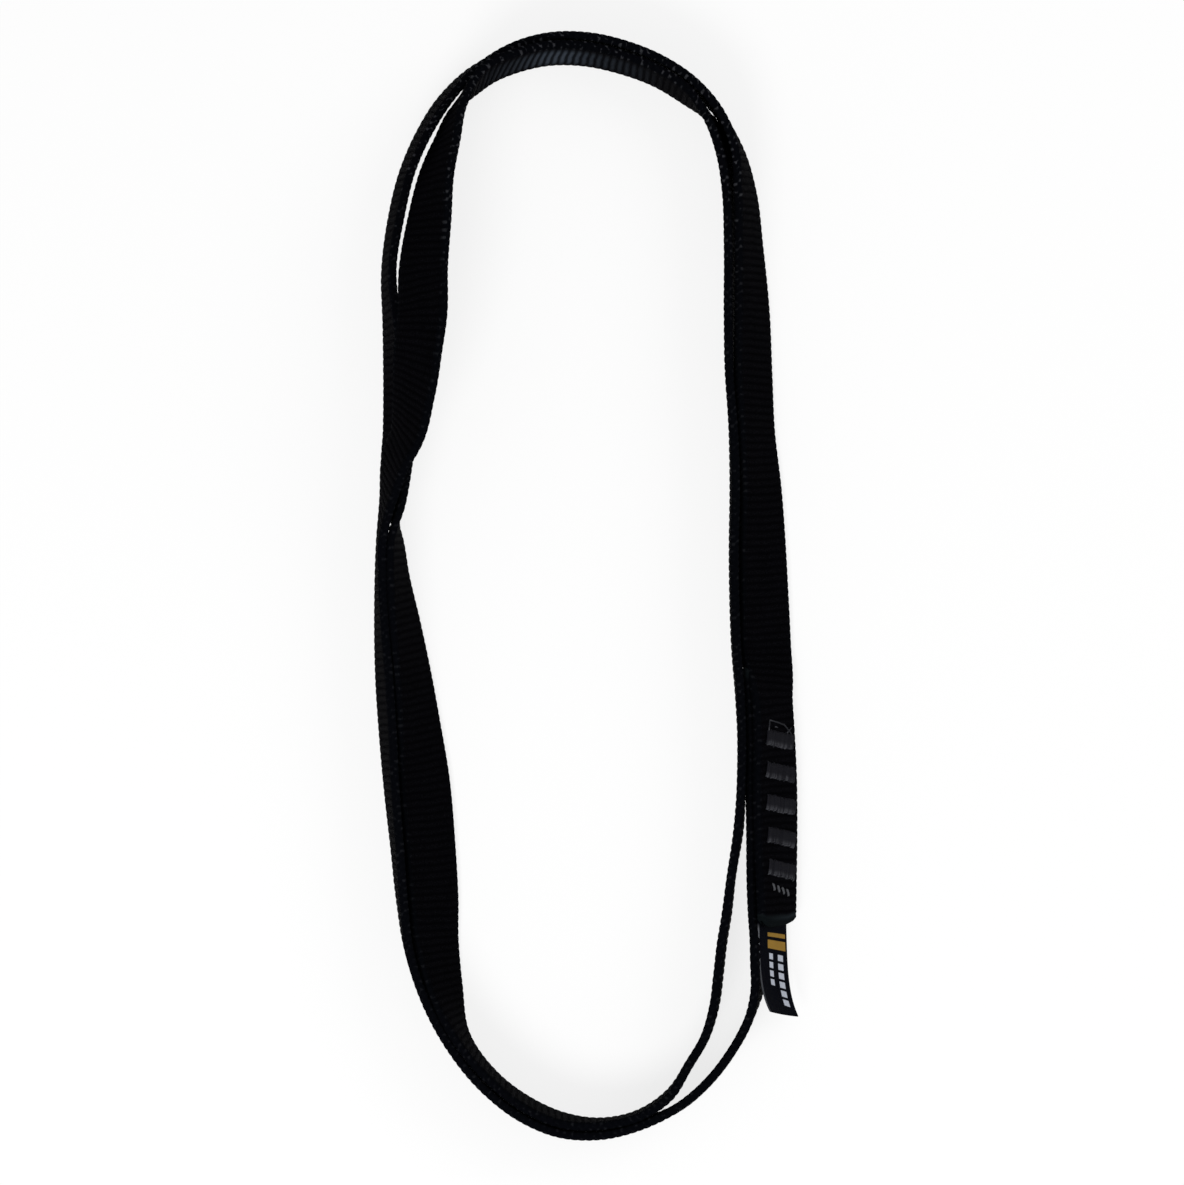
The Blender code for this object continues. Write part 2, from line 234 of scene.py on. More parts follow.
left_and_bottom_stations = [
    Station(-0.954, 0.217, 25, 21.5, 0.030, 0.42),
    Station(-0.963, 0.145, 13, 10, 0.010, 0.20),
    Station(-0.973, 0.082, -6, 5, -0.035, 0.07),
    Station(-0.981, 0.019, -12, 6, -0.045, 0.01),
    Station(-0.985, -0.072, -20.8, 9, -0.050, 0),
    Station(-0.980, -0.171, -28.2, 12, -0.052, 0),
    Station(-0.965, -0.261, -35, 12, -0.050, 0),
    Station(-0.940, -0.369, -44.3, 10, -0.050, 0),
    Station(-0.908, -0.477, -44.7, 8, -0.050, 0),
    Station(-0.879, -0.575, -43, 6, -0.050, 0),
    Station(-0.842, -0.658, -36.5, 4, -0.055, 0),
    Station(-0.765, -0.745, -25, 3, -0.052, 0),
    Station(-0.647, -0.830, -7, 3, -0.025, 0),
    Station(-0.473, -0.908, -1.8, 2, 0, 0),
    Station(-0.296, -0.957, -2, 1, 0, 0),
    Station(-0.111, -0.985, -0.6, 1, 0, 0),
    Station(0.077, -0.994, 3, 4, 0, 0),
    Station(0.262, -0.976, 3.4, 3.4, -0.015, 0),
    Station(0.457, -0.946, 2.6, 6.6, 0.054, 0),
    Station(0.591, -0.901, 4, 5.5, 0.225, 0),
    Station(0.702, -0.846, 4, 5, 0.298, 0),
    Station(0.784, -0.786, 4, 4, 0.412, 0),
    Station(0.842, -0.731, 4, 9, 0.440, 0),
    Station(0.889, -0.678, 4, 19, 0.365, 0),
]
pitch = webbing_thickness + lay_clearance
lap_rooms = [label_room] * 2 + [lap_clearance] * 4  # wider at the two stations round the label's root
lap_run_on = 0.75
lap_run_on_lean = 4


# The route, laid out as in the solids' source

def guide_points(stations):
    half = np.array([guide_width / 2, guide_length / 2, 0.0])
    points = np.array([[s.across_share, s.along_share, 0.0] for s in stations]) * half
    ahead = np.roll(points, -1, axis=0) - points
    behind = points - np.roll(points, 1, axis=0)
    ahead_length = np.linalg.norm(ahead, axis=1, keepdims=True)
    behind_length = np.linalg.norm(behind, axis=1, keepdims=True)
    tangent = ahead / ahead_length * behind_length + behind / behind_length * ahead_length
    tangent /= np.linalg.norm(tangent, axis=1, keepdims=True)
    return points, np.column_stack([-tangent[:, 1], tangent[:, 0], np.zeros(len(tangent))])


def least_inset(outer_lean, outer_lift, inner_lean, inner_lift):
    rise = inner_lift - outer_lift
    sin_o, cos_o = math.sin(outer_lean), math.cos(outer_lean)
    sin_i, cos_i = math.sin(inner_lean), math.cos(inner_lean)
    foot_off_inner = (pitch + rise * sin_i) / cos_i
    top_off_inner = webbing_width * sin_o + (pitch + (rise - webbing_width * cos_o) * sin_i) / cos_i
    foot_off_outer = (pitch + rise * sin_o) / cos_o
    top_off_outer = (pitch + (rise + webbing_width * cos_i) * sin_o) / cos_o - webbing_width * sin_i
    return min(max(foot_off_inner, top_off_inner), max(foot_off_outer, top_off_outer))


def rest_height(lean):
    return webbing_thickness / 2 * abs(math.sin(lean))


def middle(foot, inward, lean, off_face=0.0):
    across = math.cos(lean) * UP + math.sin(lean) * inward
    face = math.cos(lean) * inward - math.sin(lean) * UP
    return foot + webbing_width / 2 * across + off_face * face


def beside(station, foot, inward, swapped):
    """Feet of the first and second turn's strands side by side, with the second outermost if swapped."""
    leans = math.radians(station.lean), math.radians(station.second_lean)
    rests = [rest_height(lean) for lean in leans]
    lift = station.lift_share * webbing_width
    free = station.free_share * webbing_width
    if swapped:
        inset = least_inset(leans[1], lift, leans[0], 0.0) + free
        first = foot + inset * inward + rests[0] * UP
        return first, foot + (rests[1] + lift) * UP
    inset = least_inset(leans[0], 0.0, leans[1], lift) + free
    return foot + rests[0] * UP, foot + inset * inward + (rests[1] + lift) * UP


def crossed(station, foot, inward):
    """Feet of the two turns' strands where the second lies over the first."""
    lean = math.radians(station.lean)
    across = math.cos(lean) * UP + math.sin(lean) * inward
    outer_face = math.sin(lean) * UP - math.cos(lean) * inward
    first = foot + rest_height(lean) * UP
    top = first + webbing_width * across
    down = station.down_share * webbing_width
    return first, top - down * across + station.over_share * pitch * outer_face


def strip_rows():
    """Middles and leans of the whole strip at its stations: first turn, second turn, and the lap."""
    before = lap_stations + right_and_top_stations
    stations = before + crossing_stations + left_and_bottom_stations
    points, inward = guide_points(stations)
    first_turn, second_turn, lap = [], [], []
    for index, (station, foot, inside) in enumerate(zip(stations, points, inward)):
        leans = math.radians(station.lean), math.radians(station.second_lean)
        if isinstance(station, Crossing):
            feet = crossed(station, foot, inside)
        else:
            feet = beside(station, foot, inside, swapped=index >= len(before))
        off_face = 0.0
        if index < len(lap_stations):
            off_face = -webbing_thickness - lap_rooms[index]
            lap.append((*middle(feet[0], inside, leans[0]), leans[0]))
        first_turn.append((*middle(feet[0], inside, leans[0], off_face), leans[0]))
        second_turn.append((*middle(feet[1], inside, leans[1]), leans[1]))
    last, previous = np.array(lap[-1]), np.array(lap[-2])
    lap.append(last + lap_run_on * (last - previous) + [0, 0, 0, math.radians(lap_run_on_lean)])
    return np.array(first_turn + second_turn + lap)


def smooth(rows, step):
    """A smooth curve through the rows, in even steps of its length."""
    spans = np.linalg.norm(np.diff(rows[:, :3], axis=0), axis=1)[:, None]
    slopes = np.diff(rows, axis=0) / spans
    inner = (slopes[:-1] * spans[1:] + slopes[1:] * spans[:-1]) / (spans[1:] + spans[:-1])
    rates = np.vstack([1.5 * slopes[0] - 0.5 * inner[0], inner, 1.5 * slopes[-1] - 0.5 * inner[-1]])
    fine = []
    for i, span in enumerate(spans):
        for t in np.linspace(0, 1, steps_per_span, endpoint=False):
            bend_in = (t**3 - 2 * t**2 + t) * span * rates[i]
            bend_out = (t**3 - t**2) * span * rates[i + 1]
            blend = 3 * t**2 - 2 * t**3
            fine.append((1 - blend) * rows[i] + blend * rows[i + 1] + bend_in + bend_out)
    fine = np.array(fine + [rows[-1]])
    run = np.linalg.norm(np.diff(fine[:, :3], axis=0), axis=1)
    run = np.concatenate([[0.0], np.cumsum(run)])
    places = np.linspace(0, run[-1], round(run[-1] / step) + 1)
    return np.column_stack([np.interp(places, run, column) for column in fine.T])


def frames(rows):
    """At each row, the middle and the directions along, across and out of the inner face."""
    middles = rows[:, :3]
    travel = np.gradient(middles, axis=0)
    travel /= np.linalg.norm(travel, axis=1, keepdims=True)
    level = np.column_stack([-travel[:, 1], travel[:, 0], np.zeros(len(travel))])
    level /= np.linalg.norm(level, axis=1, keepdims=True)
    across = np.sin(rows[:, 3:4]) * level + np.cos(rows[:, 3:4]) * UP
    across -= (across * travel).sum(axis=1, keepdims=True) * travel
    across /= np.linalg.norm(across, axis=1, keepdims=True)
    return middles, travel, across, np.cross(across, travel)


def route():
    """The length run, and the strip's frames at fine steps, moved onto the solid's box."""
    middles, travel, across, inner_face = frames(smooth(strip_rows(), rib_pitch / rows_per_rib))
    sides = [(u * webbing_width / 2, v * webbing_thickness / 2) for u in (-1, 1) for v in (-1, 1)]
    corners = np.array([middles + u * across + v * inner_face for u, v in sides]).reshape(-1, 3)
    low, high = corners.min(axis=0), corners.max(axis=0)
    solid_low, solid_high = (np.array(corner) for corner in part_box("webbing"))
    shift = (solid_low + solid_high - low - high) / 2 + np.array([shift_right, 0.0, 0.0])
    run = np.linalg.norm(np.diff(middles, axis=0), axis=1)
    run = np.concatenate([[0.0], np.cumsum(run)])
    return run, (middles + shift, travel, across, inner_face)


def smoothstep(low, high, x):
    t = np.clip((x - low) / (high - low), 0, 1)
    return t * t * (3 - 2 * t)


def bell(x, centre, reach):
    return np.exp(-((x - centre) / reach) ** 2)


def at(places, which):
    """One of the strip's frames (0 middle, 1 travel, 2 across, 3 inner face) at lengths along it."""
    return np.column_stack([np.interp(places, run, column) for column in strip[which].T])


def surface(places, across, height, outer_layer):
    """Points over the lap's face: a length from the cut end, a place across and a height off it."""
    if outer_layer:
        lengths, sign = places, -1
    else:
        lengths, sign = np.interp(places, lap_map[0], lap_map[1]), 1
    off = sign * (webbing_thickness / 2 + height)
    return at(lengths, 0) + across[:, None] * at(lengths, 2) + off[:, None] * at(lengths, 3)


def layer_map(reach):
    """For lengths along the outer layer, the lengths of the inner layer's points facing them."""
    first = np.linspace(0.0, reach, lap_map_steps)
    tail = np.nonzero(run > run[-1] - reach * lap_map_tail)[0]
    facing = []
    for length in first:
        place, along = at([length], 0)[0], at([length], 1)[0]
        gaps = (strip[0][tail] - place) @ along
        facing.append(np.interp(0.0, gaps, run[tail]))
    return first, np.array(facing)


def add_object(name, data):
    item = bpy.data.objects.new(name, data)
    bpy.context.scene.collection.objects.link(item)
    return item


def new_mesh(name, points, quads, extra_faces=()):
    """A mesh object from arrays of points and four-sided faces, and a few faces of other sizes."""
    mesh = bpy.data.meshes.new(name)
    points = np.asarray(points, float)
    loops = [np.asarray(quads).ravel()] + [np.asarray(face) for face in extra_faces]
    sizes = np.array([4] * len(quads) + [len(face) for face in extra_faces])
    corners = np.concatenate(loops).astype(np.int32)
    mesh.vertices.add(len(points))
    mesh.vertices.foreach_set("co", points.ravel().astype(np.float32))
    mesh.loops.add(len(corners))
    mesh.loops.foreach_set("vertex_index", corners)
    mesh.polygons.add(len(sizes))
    starts = np.concatenate([[0], np.cumsum(sizes)[:-1]]).astype(np.int32)
    mesh.polygons.foreach_set("loop_start", starts)
    mesh.polygons.foreach_set("use_smooth", np.full(len(sizes), True))
    mesh.update(calc_edges=True)
    mesh.validate()
    return add_object(name, mesh)


def give(item, name, values):
    """One number on each point of the mesh, for its material to read."""
    made = item.data.attributes.new(name, "FLOAT", "POINT")
    made.data.foreach_set("value", np.asarray(values, np.float32).ravel())


def tube_quads(rings, sides):
    """Faces of a grid of rings whose points run round."""
    k = np.arange(sides)
    after = (k + 1) % sides
    quads = []
    for ring in range(rings - 1):
        here, there = ring * sides, (ring + 1) * sides
        quads.append(np.column_stack([here + k, here + after, there + after, there + k]))
    return np.concatenate(quads)


# Webbing

def section_outline():
    """Places across and off the middle, outward normal, and share of the rib and knot relief."""
    side, face = webbing_width / 2 + edge_proud, webbing_thickness / 2 + face_proud
    quarter = [  # from the selvedge to the middle of a face
        (side - 0.00010, 0.0, 1.0, 0.0, 0.10),
        (side - 0.00008, face * 0.55, 0.86, 0.5, 0.25),
        (side - 0.00055, face * 0.93, 0.35, 0.94, 0.50),
        (side - 0.00190, face, 0.0, 1.0, 0.75),
        (side * 0.44, face, 0.0, 1.0, 1.0),
        (0.0, face, 0.0, 1.0, 1.0),
    ]
    mirrored = [(-u, v, -nu, nv, share) for u, v, nu, nv, share in reversed(quarter[1:-1])]
    upper = quarter + mirrored
    lower = [(-u, -v, -nu, -nv, share) for u, v, nu, nv, share in upper]
    return np.array(upper + lower)


def rib_wave(phase):
    return np.abs(np.cos(math.pi * phase)) ** rib_roundness


def tack_footprint(places, across, centre):
    """1 inside a tack's slanted outline and 0 away from it."""
    turn = math.radians(tack_slant)
    ahead, up = places - centre, across + tack_drop
    a = ahead * math.cos(turn) - up * math.sin(turn)
    w = ahead * math.sin(turn) + up * math.cos(turn)
    outside = np.maximum(np.abs(a) - tack_along / 2, np.abs(w) - tack_across / 2)
    return 1 - smoothstep(0.0, press_reach, outside)


def tack_places():
    return [first_tack_from_end + (tack_count - n) * tack_pitch for n in range(1, tack_count + 1)]


def pressed_share(places, u, v):
    """1 where a tack presses the lap's outer or inner face down, and 0 elsewhere."""
    facing = np.interp(places, lap_map[1], lap_map[0])
    on_outer = places < press_outer_reach
    tacks_reach = first_tack_from_end + tack_count * tack_pitch
    on_inner = places > run[-1] - tacks_reach - press_inner_margin
    pressed = np.zeros_like(places)
    for centre in tack_places():
        outer = tack_footprint(places, u, centre)
        inner = tack_footprint(facing, u, centre)
        pressed = np.maximum(pressed, np.where(v < 0, outer * on_outer, 0))
        pressed = np.maximum(pressed, np.where(v > 0, inner * on_inner, 0))
    return pressed


def painted_highlight_share(places, u, v):
    """How strong the painted highlight on the inner face is, round the second turn's top."""
    middles = strip[0]
    second = np.nonzero(run > run[-1] / 2)[0]
    from_top = places - run[second[np.argmax(middles[second, 1])]]
    bend = painted_highlight_broad * (smoothstep(*painted_highlight_starts, from_top) - smoothstep(*painted_highlight_stops, from_top))
    bend = bend + painted_highlight_peak * bell(from_top, painted_highlight_centre, painted_highlight_reach)
    return bend * smoothstep(*painted_highlight_sides, -np.abs(u)) * (v > 0)


def build_webbing(look):
    outline = section_outline()
    middles, travel, across, inner_face = strip
    rows, count = len(middles), len(outline)
    u, v, nu, nv, share = (column[None, :] for column in outline.T)
    number = np.arange(rows)[:, None] / rows_per_rib
    rib = np.round(number + (v < 0) * 0.5).astype(int)
    uneven = 1 + rib_unevenness * (noise.random((rib.max() + 2, 3))[rib, 0] - 0.5)
    relief = rib_wave(number + np.where(v < 0, 0.5, 0.0))
    height = rib_height * (relief - rib_share_below) * uneven * share

    places = run[:, None] + 0 * u
    from_end = np.minimum(places, run[-1] - places)
    pressed = pressed_share(places, u, v)
    uneven_end = from_end + seal_wave * np.sin(u * seal_wave_rate)
    seal = 1 - smoothstep(seal_length * seal_start_share, seal_length * seal_stop_share, uneven_end)
    height = height * (1 - seal_flattens * seal) * (1 - press_flattens * pressed) - press_depth * pressed
    bead = sum(bell(from_end, place, reach) * rise for place, reach, rise in seal_beads)
    height = height + seal * (bead - seal_sink) * np.abs(nv)
    rounding = np.clip((seal_round - from_end) / seal_round, 0, 1)
    squeeze = np.sqrt(1 - end_thins * rounding**2)

    wobble = sum(rise * np.sin(u * a + places * b + phase) for rise, a, b, phase in weave_waves)
    wobble = wobble * smoothstep(0.0, weave_still_end, from_end)
    bow = sum(rise * np.sin(places * rate + phase) for rise, rate, phase in bow_waves)
    bow = bow * np.sign(u) * (np.abs(u) > bow_from) * bow_share
    side = u * (1 - end_narrows * rounding**2) + nu * height + bow
    off = v * squeeze + nv * height
    corner = np.clip((np.abs(u) - end_corner) / (webbing_width / 2 - end_corner), 0, 1) ** 2
    back = corner * np.where(u > 0, end_upper_back, end_lower_back)
    wobble = wobble + back * (1 - smoothstep(0.0, end_reach, places))
    points = (
        middles[:, None, :]
        + side[:, :, None] * across[:, None, :]
        + off[:, :, None] * inner_face[:, None, :]
        + wobble[:, :, None] * travel[:, None, :]
    )
    caps = [list(range(count))[::-1], list(range((rows - 1) * count, rows * count))]
    item = new_mesh("webbing_strip", points.reshape(-1, 3), tube_quads(rows, count)[:, ::-1], caps)
    # The selvedge knots show more strongly towards the top of the loop, with higher y
    give(item, "knot_strength", knot_strength_least + knot_strength_more * smoothstep(*knot_strength_along, points[:, :, 1]))
    # Strength of the painted highlight on the inner face over the top bend
    give(item, "painted_highlight", painted_highlight_share(places, u, v))
    give(item, "run", places)
    give(item, "cross", np.broadcast_to(u, places.shape))
    give(item, "rib", relief)
    give(item, "seal", seal)
    item.data.materials.append(look)
    return item


# Threads

def thread_tube(path, up, radius):
    """Points of a tube round a path, and how far along and round each one is."""
    tangent = np.gradient(path, axis=0)
    tangent /= np.linalg.norm(tangent, axis=1, keepdims=True)
    side = np.cross(tangent, up)
    side /= np.linalg.norm(side, axis=1, keepdims=True)
    lift = np.cross(side, tangent)
    angles = (np.arange(thread_sides) * 2 * math.pi / thread_sides)[None, :, None]
    outward = np.cos(angles) * side[:, None, :] + np.sin(angles) * lift[:, None, :]
    rings = path[:, None, :] + radius * outward
    length = np.concatenate([[0], np.cumsum(np.linalg.norm(np.diff(path, axis=0), axis=1))])
    run_along = np.repeat(length[:, None], thread_sides, axis=1)
    round_it = np.repeat(np.arange(thread_sides)[None, :] / thread_sides, len(path), axis=0)
    return rings.reshape(-1, 3), run_along.ravel(), round_it.ravel()


class Threads:
    """Gathers stitches on the lap's faces into one mesh."""

    def __init__(self, light):
        self.light = light
        self.points, self.quads, self.caps = [], [], []
        self.along, self.round, self.tone, self.end = [], [], [], []
        self.count = 0

    def stitch(self, start, finish, height, outer_layer, radius):
        """One thread over the face from one place (length, across) to another."""
        t = thread_shares
        lengths = start[0] + (finish[0] - start[0]) * t
        across = start[1] + (finish[1] - start[1]) * t
        arch = np.clip(np.minimum(t, 1 - t) / thread_rise_share, 0, 1)
        arch = np.sqrt(1 - (1 - arch) ** 2)
        heights = -thread_dive + (height + thread_dive) * arch
        path = surface(lengths, across, heights, outer_layer)
        off = surface(lengths, across, heights + thread_probe, outer_layer) - path
        points, along, turn = thread_tube(path, off, radius)
        self.quads.append(tube_quads(len(path), thread_sides) + self.count)
        self.caps.append([self.count + k for k in reversed(range(thread_sides))])
        last = self.count + (len(path) - 1) * thread_sides
        self.caps.append([last + k for k in range(thread_sides)])
        self.points.append(points)
        self.along.append(along)
        self.round.append(turn)
        self.tone.append(np.full(len(points), noise.random()))
        self.end.append(np.repeat(1 - t, thread_sides))
        self.count += len(points)

    def build(self, name, look):
        item = new_mesh(name, np.concatenate(self.points), np.concatenate(self.quads), self.caps)
        give(item, "run", np.concatenate(self.along))
        give(item, "turn", np.concatenate(self.round))
        give(item, "tone", np.concatenate(self.tone))
        give(item, "end", np.concatenate(self.end))
        give(item, "light", np.full(self.count, self.light))
        item.data.materials.append(look)
        return item


def pad_place(centre, drop, slant, a, w):
    """Length and place across of a point of a slanted pad, a along it and w across it."""
    turn = math.radians(slant)
    return (
        centre + a * math.cos(turn) + (w - drop) * math.sin(turn),
        -a * math.sin(turn) + (w - drop) * math.cos(turn),
    )


def build_tack(number, centre, look):
    threads = Threads(light=0.0)
    passes = round(tack_across / thread_pass)
    for outer_layer in (True, False):
        for k in range(passes + 1):
            w = -tack_across / 2 + k * tack_across / passes
            crown = crown_least + crown_more * (1 - (2 * w / tack_across) ** 2)
            low = -tack_along / 2 + noise.normal(0, tack_low_spread)
            high = tack_along / 2 + noise.normal(0, tack_high_spread)
            lean = thread_pass / 2 * (1 if k % 2 else -1)
            start = pad_place(centre, tack_drop, tack_slant, low, w - lean / 2)
            finish = pad_place(centre, tack_drop, tack_slant, high, w + lean / 2)
            height = crown + noise.normal(0, crown_spread)
            threads.stitch(start, finish, height, outer_layer, thread_width / 2)
    return threads.build(f"tack_threads_{number}", look)


def build_tack_start(centre, look):
    """The few loose threads above the first tack, where its seam begins."""
    threads = Threads(light=loose_light)
    runs = [  # in millimetres along and across the tack, from and to
        ((2.0, 6.4), (5.4, 6.3)), ((5.3, 6.4), (5.0, 2.2)), ((5.1, 2.4), (4.6, -1.6)),
        ((4.9, -1.4), (2.2, -6.2)), ((3.6, 2.9), (3.5, 1.7)), ((2.1, -3.2), (4.2, -6.0)),
    ]
    for (a0, w0), (a1, w1) in runs:
        start = pad_place(centre, tack_drop, tack_slant, a0 / 1000, w0 / 1000)
        finish = pad_place(centre, tack_drop, tack_slant, a1 / 1000, w1 / 1000)
        threads.stitch(start, finish, loose_height, True, thread_width / 2)
    return threads.build("tack_start_threads", look)


def build_end_stitches(look):
    threads = Threads(light=1.0)
    lean = math.radians(stitch_lean)
    for outer_layer in (True, False):
        for k in range(stitch_count):
            w = (k + 0.5 - stitch_count / 2) * stitch_across / stitch_count
            a, b = stitch_long / 2 * math.cos(lean), stitch_long / 2 * math.sin(lean)
            start = pad_place(stitch_from_end, stitch_drop, stitch_slant, -a, w - b)
            finish = pad_place(stitch_from_end, stitch_drop, stitch_slant, a, w + b)
            threads.stitch(start, finish, stitch_height, outer_layer, stitch_width / 2)
    return threads.build("end_stitch_threads", look)


# Label

def build_label(look):
    """One satin sheet from between the lap's layers to its free end."""
    first = [values[0] for values in strip]
    off = (webbing_thickness + label_room) / 2
    rows_in = np.linspace(label_tail, 0, label_rows_in)
    spine = [(at([s], 0)[0] + off * at([s], 3)[0], at([s], 2)[0], at([s], 3)[0], -s) for s in rows_in]
    middles, travel, across, inner_face = first
    root = middles - label_reach * travel + off * inner_face
    spine.append((root, across, inner_face, label_reach))
    free = label_free_length - label_reach
    for share in np.linspace(0, 1, label_rows_out)[1:]:
        bend = label_splay_share * share + label_bend_share * share**label_bend_power
        slope = label_splay_share
        slope += label_bend_power * label_bend_share * share**(label_bend_power - 1)
        turned = inner_face - slope * travel
        turned /= np.linalg.norm(turned)
        place = root - share * free * travel - label_free_length * bend * inner_face
        wide = across + share * math.tan(math.radians(label_end_slant)) * travel
        spine.append((place, wide, turned, label_reach + share * free))
    columns = np.linspace(-1, 1, label_columns)
    points, lengths, wides = [], [], []
    for place, wide, face, length in spine:
        cup = label_cup * smoothstep(0.0, label_cup_reach, length)
        for c in columns:
            side = c * label_width / 2
            curl = cup * (c * c - label_cup_middle)
            points.append(place + side * wide - curl * face)
            lengths.append(length)
            wides.append(side)
    quads = []
    for row in range(len(spine) - 1):
        here, there = row * label_columns, (row + 1) * label_columns
        quads += [(here + k, here + k + 1, there + k + 1, there + k) for k in range(label_columns - 1)]
    item = new_mesh("label_sheet", points, np.array(quads))
    give(item, "run", lengths)
    give(item, "cross", wides)
    thick = item.modifiers.new("Thickness", "SOLIDIFY")
    thick.thickness = label_thickness
    thick.offset = 0.0
    item.data.materials.append(look)
    return item


# Materials. Pairs named range, band, start, end, across or gap are limits of a value. Pairs named
# rough, wear or results are what a value from 0 to 1 turns into, and scales are along and across.
# A row of four is a ramp: its two results, and the two values that give them.

cloth_specular = 0.003
thread_specular = 0.03
dust_roughness = 0.6

weave_dark = (0.0006, 0.0006, 0.0009)
weave_light = (0.0015, 0.0014, 0.0021)
filament_scales = (500, 9000)
blotch_scales = (60, 140)
weave_dust = 2600.0
weave_melt = 900.0
weave_bump = 0.00012
weave_rough = (0.80, 0.92)
yarn_pitch = 0.00085
yarn_share = 0.6
filament_share = 0.4
melt_share = 0.7
crest_range = (0.45, 0.95)
crest_shine = 0.14
tip_color = (0.0066, 0.0066, 0.0084)
tip_range = (0.45, 0.75)
tip_share = 0.6
# Painted highlight: a paler blue-grey on the inner face's rib crests round the top bend, for light reflected
# there
painted_highlight_color = (0.0560, 0.0690, 0.0900)
painted_highlight_ridge = (0.15, 1.0, 0.60, 0.99)
painted_highlight_results = (0.5, 1.2)
edge_color = (0.0014, 0.0018, 0.0028)
edge_range = (0.0082, 0.0096)
edge_share = 0.6
knot_color = (0.0400, 0.0410, 0.0460)
knot_range = (0.80, 0.97)
knot_fleck = 620.0
knot_fleck_range = (0.52, 0.62)
knot_filaments = (0.3, 1.0, 0.3, 0.6)
seal_color = (0.0036, 0.0050, 0.0056)
seal_share = 0.85
# Painted highlight: a paler band on the sealed end's lip, fading across the width, for light caught by the
# melted rim
lip_highlight_color = (0.0150, 0.0200, 0.0240)
lip_highlight_band = (0.0020, 0.0032, 0.0006)  # low, high and softness
lip_highlight_fade = (0.75, 0.10, -0.0090, 0.0060)

thread_dark = (0.0060, 0.0060, 0.0085)
thread_grey = (0.0115, 0.0115, 0.0150)
thread_lit = (0.0480, 0.0490, 0.0560)
thread_lit_end = (0.62, 0.85)
thread_lit_tone = (0.15, 1.0, 0.35, 0.75)
thread_shade = (0.0040, 0.0040, 0.0055)
thread_shade_share = 0.5
thread_pale = (0.0640, 0.0660, 0.0720)
thread_plies = 2.0
thread_twist = 1500
thread_fuzz = 5200.0
thread_fuzz_share = 0.3
thread_rough = (0.42, 0.6)
thread_bump = 0.00006

satin_dark = (0.0006, 0.0008, 0.0022)
satin_light = (0.0014, 0.0018, 0.0042)
satin_cloud = 260.0
satin_rough = (0.36, 0.50)
satin_bump = 0.00003
warp_pitch = 0.00022
warp_share = 0.6
weft_pitch = 0.00030
weft_share = 0.4
# Painted sheen: a pale strip along one edge of the label, fading along it, for light caught on that edge
painted_sheen_color = (0.1300, 0.1350, 0.1500)
painted_sheen_band = (0.0080, 0.0100)
painted_sheen_fade = (0.75, 0.25, 0.004, 0.024)
painted_sheen_start = (-0.0015, 0.0005)
print_slant = 0.13
soft_edge = 0.00008
amber = (0.300, 0.175, 0.035)
amber_wear = (0.7, 1.0)
amber_bands = [(0.0020, 0.0032), (0.0042, 0.0068)]
amber_across = (-0.0076, 0.0030)
dash_color = (0.460, 0.490, 0.560)
dash_share = 0.9
dash_start = 0.0082
dash_pitch = 0.0026
dash_gap = (0.66, 0.72)
dash_rows = [((-0.0060, -0.0030), (dash_start, 0.0236)), ((0.0000, 0.0022), (dash_start, 0.0185))]


